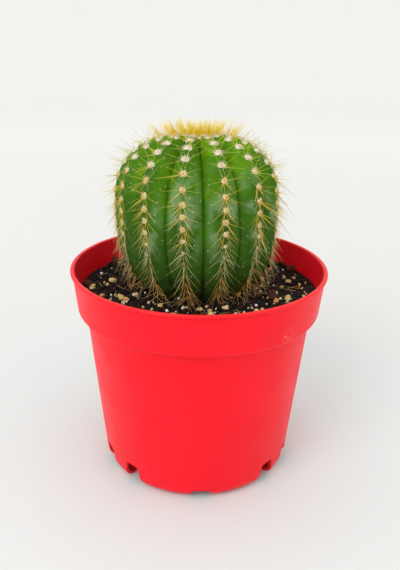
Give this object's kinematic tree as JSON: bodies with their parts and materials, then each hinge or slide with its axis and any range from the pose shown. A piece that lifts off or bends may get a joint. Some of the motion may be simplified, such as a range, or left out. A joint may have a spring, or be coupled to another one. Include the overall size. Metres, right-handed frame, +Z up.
{
  "type": "potted round cactus",
  "caption": "Round ribbed cactus with woolly areoles and straw-coloured spines, planted in gritty soil in a red plastic nursery pot with a stepped collar and a notched foot.",
  "frame": {"origin": "centre of the pot's foot, on the surface that the pot stands on", "axes": "+Z up along the pot's axis; -Y is the front, the side that the picture shows; +X to the right"},
  "size_m": [0.12, 0.12, 0.1688],
  "materials": {
    "pot_plastic": "satin",
    "potting_mix": "matte",
    "plant_skin": "satin",
    "golden_spines": "satin"
  },
  "bodies": {
    "root": {"pot": "pot_plastic", "soil": "potting_mix", "cactus": "plant_skin", "crown_tuft": "golden_spines"}
  },
  "joints": []
}
